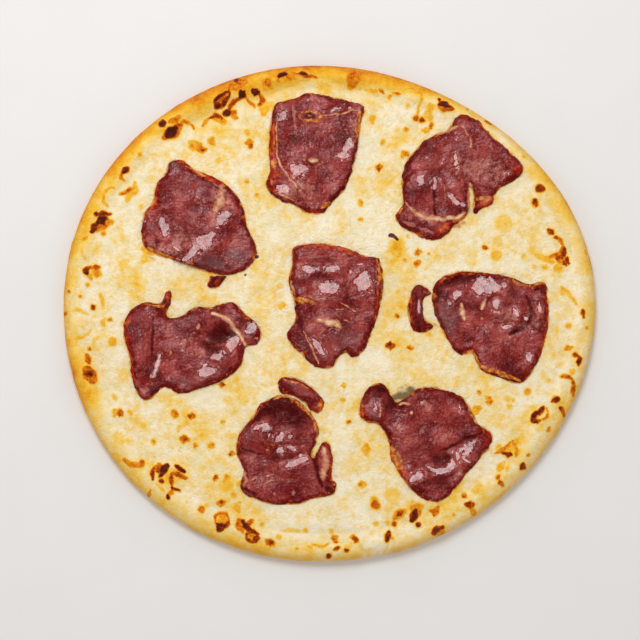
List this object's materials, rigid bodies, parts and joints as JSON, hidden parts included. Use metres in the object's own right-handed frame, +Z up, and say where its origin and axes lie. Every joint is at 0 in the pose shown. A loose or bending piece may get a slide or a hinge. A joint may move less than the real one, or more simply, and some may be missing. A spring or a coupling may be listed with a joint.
{
  "type": "pastirma pizza",
  "caption": "Round thin pizza with a puffed, browned rim, a cover of melted cheese and large curled slices of cured beef lying on it.",
  "frame": {"origin": "middle of the pizza's outline box, on the table under its flat bottom", "axes": "+Z up, X along the longer way across, +Y towards the edge that is at the top of the picture"},
  "size_m": [0.3204, 0.3034, 0.0125],
  "materials": {
    "crust": "baked dough, golden with dark brown blisters, matt",
    "cheese": "melted cheese, cream with yellow and browned spots, soft sheen",
    "cured_beef": "oily cured beef, dark red with fat streaks and sharp highlights"
  },
  "bodies": {
    "root": {"crust": "crust", "cheese": "cheese", "slice_north_west": "cured_beef", "slice_north": "cured_beef", "slice_north_east": "cured_beef", "slice_west": "cured_beef", "slice_middle": "cured_beef", "slice_east": "cured_beef", "slice_south": "cured_beef", "slice_south_east": "cured_beef", "curl_east": "cured_beef", "curl_south": "cured_beef", "scrap_west": "cured_beef"}
  },
  "joints": []
}
